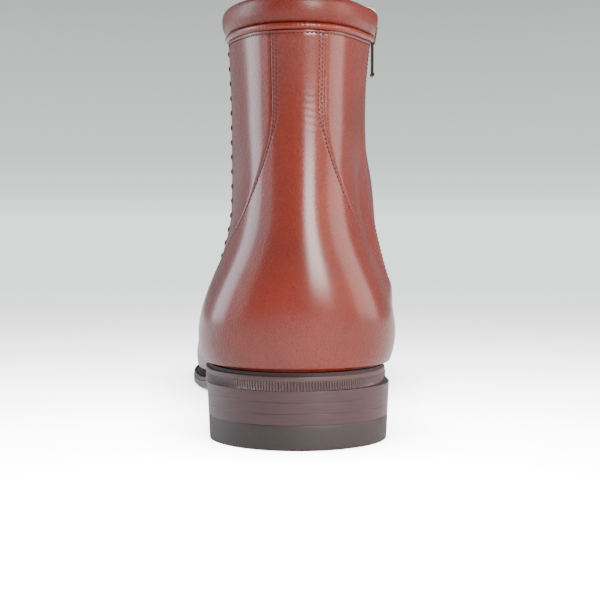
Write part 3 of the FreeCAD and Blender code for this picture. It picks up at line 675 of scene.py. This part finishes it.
LINING_GAP = 5.7        # half the lining's gap behind the zip
LINING_LOW, LINING_TOP = 0.1, 8.88      # the rings where the lining starts and ends
LINING_IN, BEHIND_COLLAR, LIP = 3.5, 2.8, 1.3
COLLAR_FROM, LIP_FROM, LIP_RUN = 6.9, 8.70, 0.25            # rings


def lining_depth(v):
    """The lining steps in behind the padded collar, and lips out over it at the top."""
    return (LINING_IN + BEHIND_COLLAR * ease(v - COLLAR_FROM)
            - LIP * ease((v - LIP_FROM) / LIP_RUN))


def lining():
    """The lining's two halves, sewn together with a small ridge."""
    def lift(q):
        seam = 0.25 * np.exp(-(np.minimum(q["left"], q["right"]) / 0.7) ** 2)
        return -lining_depth(q["v"]) - seam

    for name, left, right, node in (
            ("lining_front", wrapped(zip_edge(True, LINING_GAP)), edge(side_seam, -1, 0.05),
             "lining_vamp"),
            ("lining_back", edge(side_seam, -1, -0.05), zip_edge(False, LINING_GAP),
             "lining_quarters")):
        leather_panel(name, left, right, LINING_LOW, LINING_TOP, lift, MAT["lining"],
                      count=120, columns=120, thick=1.0, slot="lining", replaces=[node])


lining()


# ------------------------------------------------------------------ collar and piping
COLLAR_CUT_BACK, COLLAR_SINK, COLLAR_HALF = 0.6, 2.2, 3.9
COLLAR_RING, COLLAR_END, COLLAR_SQUARENESS, COLLAR_FILL = 8.55, 3.6, 0.86, 0.9
PIPING_RING, COLLAR_TOP_RING, PIPING_RADIUS = 8.03, 9.02, 1.15


def round_the_top(v, count):
    """Places round ring v from the zip's front edge by the toe side to its rear edge."""
    off = ZIP_HALF + COLLAR_CUT_BACK
    start, end = (float(find_u(v, ZIP_Y + way * off, where=last)) for way in (1, -1))
    return np.linspace(start, end + 2, count)


def puckers(run, a):
    """Small gathers along the collar's lower edge, where it is sewn to the piping."""
    lower = np.clip(-np.sin(a), 0, 1) ** 2
    wave = np.sin(2 * np.pi * run / 3.9 + 1.6 * np.sin(run / 11)) + 0.6 * np.sin(run / 0.83)
    return 0.035 * lower * wave + 0.012 * np.sin(run / 7.0 + 2 * a)


def collar():
    """The padded roll round the top, open at the zip."""
    us = round_the_top(COLLAR_RING, 460)
    low, high = last(us, PIPING_RING), last(us, COLLAR_TOP_RING)
    ups = unit(high - low)
    outs = normals(us, (PIPING_RING + COLLAR_TOP_RING) / 2)
    outs = unit(outs - ups * np.sum(outs * ups, -1, keepdims=True))
    low = low + ups * PIPING_RADIUS * 0.6
    half = np.linalg.norm(high - low, axis=-1) / 2
    piece = roll("padded_collar", (low + high) / 2 - outs * COLLAR_SINK, outs, ups,
                 COLLAR_HALF, half, MAT["collar_calf"], COLLAR_END, points=56,
                 squareness=COLLAR_SQUARENESS, extra=puckers, slot="calf",
                 replaces=["collar_cover"])


def piping():
    """A corded bead between the collar and the panels, gathered a little by its stitches."""
    us = round_the_top(PIPING_RING, 560)
    seat, outs = last(us, PIPING_RING), normals(us, PIPING_RING)
    ups = unit(last(us, PIPING_RING + 0.02) - last(us, PIPING_RING - 0.02))
    roll("piping_bead", seat + outs * 0.1, outs, ups, PIPING_RADIUS, PIPING_RADIUS,
         MAT["piping_calf"], 1.2, points=18, slot="calf_dark", replaces=["piping"],
         extra=lambda run, a: 0.04 * np.sin(2 * np.pi * run / STITCH_PITCH))


collar()
piping()


# ------------------------------------------------------------------ stitching
THREAD_RADIUS, STITCH_LONG = 0.17, 1.3
TOP_ROW_RING, ROW_TOP, FAR_ROW_LOW = 7.885, 7.9, 4.2        # rings
SIDE_THREAD_RADIUS, SIDE_STITCH_LONG, SIDE_PITCH, SIDE_LOW_Z = 0.58, 3.4, 5.5, 52


def counter_row(side, mm):
    """A line on the counter panel, some mm in from its edge."""
    def at(v):
        near = side * counter_seam(v)
        inset = mm(last(near, v)[..., 2]) if callable(mm) else mm
        return near - side * step_of(v, near, inset)
    return at


def under_piping():
    """The row that holds the panels to the piping."""
    ring = TOP_ROW_RING
    us = round_the_top(ring, 3000)
    run = run_along(last(us, ring))
    u = np.interp(np.arange(STITCH_PITCH, run[-1] - 1, STITCH_PITCH), run, us)
    round_back = np.abs((u + 1) % 2 - 1)
    proud = np.where(round_back < counter_seam(np.array([ring]))[0], COUNTER_PROUD, 0.0)
    way = last(u + 0.003, ring) - last(u - 0.003, ring)
    return on_last(u, ring, proud + 0.02), way, normals(u, ring)


def sewing():
    """The machine-sewn rows: heel panel, top edge and zip."""
    thread, radius, long = MAT["thread"], THREAD_RADIUS, STITCH_LONG
    seat = COUNTER_PROUD - 0.07
    rows = []
    for side in (-1, 1):
        rows.append(along_seam(counter_row(side, ROW_NEAR), 0.12, ROW_TOP, STITCH_PITCH, seat))
        points, ways, outs = along_seam(counter_row(side, far_row), FAR_ROW_LOW, ROW_TOP,
                                        STITCH_PITCH, seat, lead=0.9)
        apart = far_row(points[:, 2]) - ROW_NEAR > 0.5
        rows.append((points[apart], ways[apart], outs[apart]))
    stitches("counter_stitching", *join_rows(*rows), long, radius, thread, slant=24)
    stitches("top_stitching", *under_piping(), long, radius, thread, slant=8)
    zip_rows = [along_seam(zip_edge(front, further=1.6), 0.3, ROW_TOP, STITCH_PITCH, 0.0)
                for front in (True, False)]
    stitches("zip_stitching", *join_rows(*zip_rows), long, radius, thread, slant=9)


def side_thread():
    """Thick waxed hand stitches along the outer side's seam."""
    seats, ways, outs = along_seam(lambda v: -side_seam(v), 2.0, ROW_TOP, SIDE_PITCH, 0.16)
    high = seats[:, 2] > SIDE_LOW_Z
    stitches("side_seam_stitches", seats[high], ways[high], outs[high], SIDE_STITCH_LONG,
             SIDE_THREAD_RADIUS, MAT["side_thread"], slant=6, bow=1.2,
             replaces=["side_seam_thread"])


sewing()
side_thread()


# ------------------------------------------------------------------ sole
WAIST_Y, LEDGE_RUN, RAND_INSET = 33.0, 75.0, 0.1
INNER_TRIM, TRIM_RUN = 1.2, 20.0
WELT_LEDGE, SOLE_LEDGE, WELT_INNER = 2.4, 2.7, 9.0
GROOVE, WELT_LOW, SOLE_LOW = -1.3, -3.1, -6.3
RIB_PITCH, RIB_HIGH = 1.08, 0.75
INNER_LEDGE_LATER = 34.0
WELT_PITCH, WELT_STITCH_LONG, WELT_STITCH_IN, WELT_THREAD = 3.2, 2.5, 1.0, 0.3
SOLE_STEP, STRIP_STEP = 0.9, 0.4        # how finely the feather line is followed
BUTT = 0.3              # where the rand gives way to the welt, past the heel's front
SPINE_BACK, SPINE_FRONT = 0.0, 215.0

FEATHER_U = np.linspace(-1, 1, 6001)
FEATHER_PLAN = bare(FEATHER_U, 0.0)[:, :2]
FEATHER_RUN = run_along(FEATHER_PLAN)
FEATHER_RUN -= np.interp(0.0, FEATHER_U, FEATHER_RUN)


def height_of_feather(y):
    """The feather line's height for an array of any shape."""
    return feather_z(np.ravel(y)).reshape(np.shape(y))


def middle_of(y):
    """The sole's middle line: x half way between its two edges."""
    inner, outer = FEATHER_U >= 0, FEATHER_U <= 0
    right = np.interp(y, FEATHER_PLAN[inner, 1], FEATHER_PLAN[inner, 0])
    left = np.interp(y, FEATHER_PLAN[outer, 1][::-1], FEATHER_PLAN[outer, 0][::-1])
    return (left + right) / 2


def run_at_waist(side):
    """How far round the feather line the heel ends, on one side."""
    some = FEATHER_U * side >= 0
    y, run = FEATHER_PLAN[some, 1], FEATHER_RUN[some]
    return float(np.interp(WAIST_Y, y[::side], run[::side]))


def ledge(p, amount):
    """The edge stands out round the forepart; on the inner side it starts further on."""
    start = WAIST_Y + INNER_LEDGE_LATER * (p[:, 0] > 0)
    close = RAND_INSET + INNER_TRIM * np.clip(p[:, 0] / TRIM_RUN, 0, 1)
    return close - (close + amount) * ease((p[:, 1] - start) / LEDGE_RUN)


def plan_of(run):
    """Points of the feather line in plan and the inward direction of each."""
    u, e = np.interp(run, FEATHER_RUN, FEATHER_U), 0.004
    p = bare(u, 0.0)[:, :2]
    along = unit((bare(u + e, 0.0) - bare(u - e, 0.0))[:, :2])
    return p, np.stack([-along[:, 1], along[:, 0]], -1)


def sole_piece(name, run, profile, amount, inner, material, relief_of=None, closed=True,
               **options):
    """A layer of the sole.  profile lists (how far in towards inner, more inset, height
    below the feather line, how much relief it shows) round the cross-section."""
    p, inward = plan_of(run)
    edge_inset = ledge(p, amount)
    target = inner(p, inward)
    marks = relief_of(run, p[:, 1]) if relief_of else np.zeros(len(run))
    rows = []
    for share, inset, drop, share_of_relief in profile:
        outer = p + inward * (edge_inset + inset - marks * share_of_relief)[:, None]
        at = outer * (1 - share) + target * share
        rows.append(np.column_stack([at, height_of_feather(at[:, 1]) + drop]))
    return close_up(grid_object(name, np.array(rows), material,
                                wrap=(not closed, closed), **options))


def to_spine(p, inward):
    """Inner ends for a layer that fills the whole plan: its middle line."""
    y = np.clip(p[:, 1], SPINE_BACK, SPINE_FRONT)
    return np.stack([middle_of(y), y], -1)


def to_inner_ring(p, inward):
    """Inner ends for a strip that only runs round the edge."""
    return p + inward * WELT_INNER


def rounded_edge(top, low, radius, bulge=0.0):
    """The outer part of a layer's cross-section, from its top face to its lower face."""
    corner = [(0.7, 0.0), (0.3, 0.12), (0.1, 0.35), (0.0, 0.75)]
    upper = [(0, radius * a, top - radius * b, b) for a, b in corner]
    lower = [(0, radius * a, low + radius * b, b) for a, b in corner[::-1]]
    return upper + [(0, -bulge, (top + low) / 2, 1)] + lower


def heel_ribs(run, y):
    """A wheeled pattern round the heel seat, strongest at the back."""
    strong = (0.15 + 0.85 * ease((6 - y) / 32)) * ease((WAIST_Y - y) / 5)
    return RIB_HIGH * strong * ((0.5 + 0.5 * np.cos(2 * np.pi * run / RIB_PITCH)) ** 0.6 - 1)


def welt_marks(run, y):
    """The welt's edge, drawn in a little between its stitches."""
    return 0.10 * (0.5 + 0.5 * np.cos(2 * np.pi * run / WELT_PITCH)) * ease((y - WAIST_Y) / 9)


def sole():
    """The outsole, the rand round the heel seat, the welt round the forepart, its stitches."""
    outer_waist, inner_waist = run_at_waist(-1), run_at_waist(1)
    heel = np.arange(outer_waist, inner_waist, RIB_PITCH / 8)
    front = np.concatenate([np.arange(inner_waist, FEATHER_RUN[-1], SOLE_STEP),
                            np.arange(FEATHER_RUN[0] + STRIP_STEP, outer_waist, SOLE_STEP)])
    top = WELT_LOW - 0.02
    outsole = [(1, 0, top, 0), (0.4, 0, top, 0), (0.05, 0, top, 0)]
    outsole += rounded_edge(top, SOLE_LOW, 0.3)
    outsole += [(0.05, 0, SOLE_LOW, 0), (0.4, 0, SOLE_LOW, 0), (1, 0, SOLE_LOW, 0)]
    sole_piece("outsole_leather", np.concatenate([heel, front]), outsole, SOLE_LEDGE,
               to_spine, MAT["sole"], heel_ribs, slot="sole_leather", replaces=["outsole"])

    strip = [(1, 0, GROOVE, 0), (0.3, 0, GROOVE, 0)] + rounded_edge(GROOVE, WELT_LOW, 0.25)
    strip += [(0.3, 0, WELT_LOW, 0), (1, 0, WELT_LOW, 0)]
    seat = np.arange(outer_waist, inner_waist + BUTT, STRIP_STEP)
    sole_piece("heel_rand_strip", seat, strip, WELT_LEDGE, to_inner_ring, MAT["rand"],
               closed=False, slot="welt_leather", replaces=["heel_rand"])
    forepart = np.concatenate(
        [np.arange(inner_waist + BUTT, FEATHER_RUN[-1], STRIP_STEP),
         np.arange(FEATHER_RUN[0] + STRIP_STEP / 2, outer_waist, STRIP_STEP)])
    sole_piece("welt_strip", forepart, strip, WELT_LEDGE, to_inner_ring, MAT["rand"],
               welt_marks, closed=False, slot="welt_leather", replaces=["welt"])

    runs = np.concatenate([np.arange(inner_waist + 6, FEATHER_RUN[-1], WELT_PITCH),
                           np.arange(FEATHER_RUN[0] + WELT_PITCH, outer_waist - 6, WELT_PITCH)])
    p, inward = plan_of(runs)
    at = p + inward * (ledge(p, WELT_LEDGE) + WELT_STITCH_IN)[:, None]
    seats = np.column_stack([at, height_of_feather(at[:, 1]) + GROOVE + 0.12])
    way = np.column_stack([inward[:, 1], -inward[:, 0], np.zeros(len(at))])
    stitches("welt_stitching", seats, way, np.tile([0.0, 0.0, 1.0], (len(at), 1)),
             WELT_STITCH_LONG, WELT_THREAD, MAT["thread"], bow=1.3)


sole()

# ------------------------------------------------------------------ heel
HEEL_RADIUS, HEEL_BACK, HEEL_FRONT, HEEL_HALF = 32.75, 34.3, 33.0, 30.95
HEEL_TAPER, HEEL_CORNER = math.radians(2.4), 0.9
TOP_LIFT, LIFT, LIFTS = 9.0, 4.0, 3
RUBBER_CREASE, LEATHER_CREASE, FACE_INSET = 0.07, 0.02, 1.5


def heel_outline(z, inset):
    """The heel's D-shaped plan at one height."""
    grow = z * math.tan(HEEL_TAPER) - inset
    radius, half, front = HEEL_RADIUS + grow, HEEL_HALF + grow, HEEL_FRONT - inset
    middle = HEEL_RADIUS - HEEL_BACK
    turn = np.linspace(-np.pi / 2, 0, 90)
    corner = np.linspace(0, np.pi / 2, 7)
    c = HEEL_CORNER
    side = np.linspace(0, 1, 16)[1:-1]
    right = [np.column_stack([radius * np.cos(turn), middle + radius * np.sin(turn)]),
             np.column_stack([radius + (half - radius) * side,
                              middle + (front - c - middle) * side]),
             np.column_stack([half - c + c * np.cos(corner), front - c + c * np.sin(corner)]),
             np.column_stack([(half - c) * (1 - side), np.full(len(side), front)])]
    right = np.concatenate(right)
    left = right[1:][::-1] * (-1, 1)
    return np.concatenate([right, left])


def heel_piece(name, low, high, material, slot, replaces, crease):
    """One layer of the heel, its edges broken by a fine crease."""
    rows = [(low, FACE_INSET), (low, crease * 2), (low + 0.08, crease), (low + 0.3, 0.02)]
    rows += [(low + (high - low) * f, 0.0) for f in (0.25, 0.5, 0.75)]
    rows += [(high - 0.3, 0.02), (high - 0.08, crease), (high, crease * 2),
             (high, FACE_INSET)]
    outlines = [(heel_outline(z, inset), z) for z, inset in rows]
    grid = np.array([np.column_stack([plan, np.full(len(plan), z)]) for plan, z in outlines])
    count = grid.shape[1]
    faces = grid_faces(len(rows), count, wrap_columns=True)
    faces += [list(range(count))[::-1], list(range((len(rows) - 1) * count, len(rows) * count))]
    close_up(make_object(name, grid.reshape(-1, 3), faces, material, slot=slot,
                         replaces=replaces))


def heel():
    """A rubber top lift under three lifts of stacked leather."""
    heel_piece("heel_rubber", 0.0, TOP_LIFT - 0.03, MAT["rubber"], "heel_rubber",
               ["heel_top_lift"], RUBBER_CREASE)
    for k in range(LIFTS):
        low = TOP_LIFT + k * LIFT
        heel_piece("heel_leather_%d" % (k + 1), low, low + LIFT - 0.02, MAT["stack"],
                   "stack_leather", ["heel_lift_%d" % (k + 1)], LEATHER_CREASE)


heel()


# ------------------------------------------------------------------ camera and light
CAMERA_PLACE, CAMERA_DOWN = (0.0007, -0.477, 0.0815), 3.73      # metres, degrees
LENS, SENSOR = 77.4, 36.0


def look(obj, target):
    """Turn a light to face a place."""
    direction = Vector(target) - obj.location
    obj.rotation_mode = "QUATERNION"
    obj.rotation_quaternion = direction.to_track_quat("-Z", "Y")


camera = bpy.data.objects.new("camera", bpy.data.cameras.new("camera"))
bpy.context.scene.collection.objects.link(camera)
camera.data.lens, camera.data.sensor_width = LENS, SENSOR
camera.location = CAMERA_PLACE
camera.rotation_mode = "XYZ"
camera.rotation_euler = (math.radians(90 - CAMERA_DOWN), 0, 0)
camera.data.clip_start, camera.data.clip_end = 0.01, 100
bpy.context.scene.camera = camera


def softbox(name, place, target, wide, high, power, colour=(1, 1, 1)):
    light = bpy.data.lights.new(name, "AREA")
    light.shape, light.size, light.size_y = "RECTANGLE", wide, high
    light.energy, light.color = power, colour
    obj = bpy.data.objects.new(name, light)
    bpy.context.scene.collection.objects.link(obj)
    obj.location = place
    look(obj, target)


BOOT = (0, 0.02, 0.09)
softbox("left_window", (-1.04, 0.36, 0.48), BOOT, 0.62, 0.85, 12, (0.86, 0.90, 1.0))
softbox("left_side", (-1.06, -0.26, 0.48), BOOT, 0.50, 0.85, 2.5, (0.86, 0.90, 1.0))
softbox("behind_camera", (0.52, -0.96, 0.60), BOOT, 0.46, 0.72, 28, (1.0, 0.97, 0.96))
softbox("right_front", (0.86, -0.66, 0.48), BOOT, 0.95, 0.80, 5, (1.0, 0.66, 0.54))
softbox("right_fill", (1.1, 0.06, 0.46), BOOT, 0.8, 0.8, 12, (1.0, 0.80, 0.75))
softbox("overhead", (0.0, 0.0, 1.4), BOOT, 1.6, 1.6, 4)

# the backdrop's grey by the height of the view's direction, and its tint
PALE = [(-1.0, 1.75), (0.0, 1.70), (0.015, 1.30), (0.05, 0.97), (0.16, 0.66), (1.0, 0.45)]
TINT = (0.975, 1.0, 1.005)
WHITE_MIDDLE = (0.0, 0.15, 0.0)
WHITE_TO, GREY_FROM = 0.1, 1.0
WORLD_LIGHT, WORLD_STRENGTH = (0.93, 0.96, 1.0), 0.30
# the floor's glow is a painted pool of light that falls off from the boot; only a share of it
# lights other things; ambient occlusion within SHADE_REACH darkens it as painted contact shadow
FLOOR_GLOW, GLOW_REACH, GLOW_GIVEN = 25.0, 0.20, 0.04
FLOOR_WHITE, FLOOR_HALF, SHADE_REACH = (0.86, 0.86, 0.86), 40.0, 0.035


def backdrop():
    """Pale grey all round, darker upwards; it gives less light than it shows."""
    world = bpy.data.worlds.new("studio")
    bpy.context.scene.world = world
    world.use_nodes = True
    nodes, links = world.node_tree.nodes, world.node_tree.links
    shown = nodes["Background"]
    given = nodes.new("ShaderNodeBackground")
    given.inputs["Color"].default_value = (*WORLD_LIGHT, 1)
    given.inputs["Strength"].default_value = WORLD_STRENGTH
    direction, split = nodes.new("ShaderNodeTexCoord"), nodes.new("ShaderNodeSeparateXYZ")
    height, ramp = nodes.new("ShaderNodeMapRange"), nodes.new("ShaderNodeValToRGB")
    height.inputs["From Min"].default_value = -1.0
    links.new(direction.outputs["Generated"], split.inputs["Vector"])
    links.new(split.outputs["Z"], height.inputs["Value"])
    links.new(height.outputs["Result"], ramp.inputs["Fac"])
    stops = ramp.color_ramp.elements
    while len(stops) < len(PALE):
        stops.new(0.5)
    for stop, (z, grey) in zip(stops, PALE):
        stop.position = (z + 1) / 2
        stop.color = (*(grey * t for t in TINT), 1)
    links.new(ramp.outputs["Color"], shown.inputs["Color"])
    path, mix = nodes.new("ShaderNodeLightPath"), nodes.new("ShaderNodeMixShader")
    links.new(path.outputs["Is Camera Ray"], mix.inputs["Fac"])
    links.new(given.outputs["Background"], mix.inputs[1])
    links.new(shown.outputs["Background"], mix.inputs[2])
    links.new(mix.outputs["Shader"], nodes["World Output"].inputs["Surface"])


def floor():
    """A white table round the boot that fades into the backdrop, with a painted pool of light
    round the boot, darkened by ambient occlusion as painted contact shadow.
    """
    mat = bpy.data.materials.new("studio_floor")
    mat.use_nodes = True
    nodes, links = mat.node_tree.nodes, mat.node_tree.links
    white = nodes["Principled BSDF"]
    white.inputs["Base Color"].default_value = (*FLOOR_WHITE, 1)
    white.inputs["Roughness"].default_value = 0.85
    white.inputs["Specular IOR Level"].default_value = 0.1

    def math_node(operation, a, b):
        node = nodes.new("ShaderNodeMath")
        node.operation = operation
        for socket, value in zip(node.inputs, (a, b)):
            if isinstance(value, (int, float)):
                socket.default_value = value
            else:
                links.new(value, socket)
        return node.outputs["Value"]

    def vector_node(operation):
        node = nodes.new("ShaderNodeVectorMath")
        node.operation = operation
        return node

    place, shift, reach = (nodes.new("ShaderNodeTexCoord"), vector_node("ADD"),
                           vector_node("LENGTH"))
    shift.inputs[1].default_value = WHITE_MIDDLE
    links.new(place.outputs["Object"], shift.inputs[0])
    links.new(shift.outputs["Vector"], reach.inputs[0])
    distance = reach.outputs["Value"]
    fade = nodes.new("ShaderNodeMapRange")
    fade.interpolation_type = "SMOOTHSTEP"
    fade.inputs["From Min"].default_value = WHITE_TO
    fade.inputs["From Max"].default_value = GREY_FROM
    links.new(distance, fade.inputs["Value"])
    far, table = nodes.new("ShaderNodeEmission"), nodes.new("ShaderNodeMixShader")
    horizon = PALE[1][1]
    far.inputs["Color"].default_value = (*(horizon * t for t in TINT), 1)
    links.new(fade.outputs["Result"], table.inputs["Fac"])
    links.new(white.outputs["BSDF"], table.inputs[1])
    links.new(far.outputs["Emission"], table.inputs[2])

    # painted contact shadow: ambient occlusion darkens the painted glow where the boot stands
    # close above the floor
    shade, path = nodes.new("ShaderNodeAmbientOcclusion"), nodes.new("ShaderNodeLightPath")
    shade.inputs["Distance"].default_value = SHADE_REACH
    falling = math_node("EXPONENT", math_node("MULTIPLY", distance, -1 / GLOW_REACH), 0)
    shown = math_node("MAXIMUM", path.outputs["Is Camera Ray"], GLOW_GIVEN)
    strength = math_node("MULTIPLY", math_node("MULTIPLY", falling, FLOOR_GLOW),
                         math_node("MULTIPLY", shade.outputs["AO"], shown))
    glow, both = nodes.new("ShaderNodeEmission"), nodes.new("ShaderNodeAddShader")
    links.new(strength, glow.inputs["Strength"])
    links.new(table.outputs["Shader"], both.inputs[0])
    links.new(glow.outputs["Emission"], both.inputs[1])
    links.new(both.outputs["Shader"], nodes["Material Output"].inputs["Surface"])
    mesh = bpy.data.meshes.new("floor")
    s = FLOOR_HALF
    mesh.from_pydata([(-s, -s, 0), (s, -s, 0), (s, s, 0), (-s, s, 0)], [], [(0, 1, 2, 3)])
    obj = bpy.data.objects.new("floor", mesh)
    bpy.context.scene.collection.objects.link(obj)
    obj.data.materials.append(mat)


backdrop()
floor()
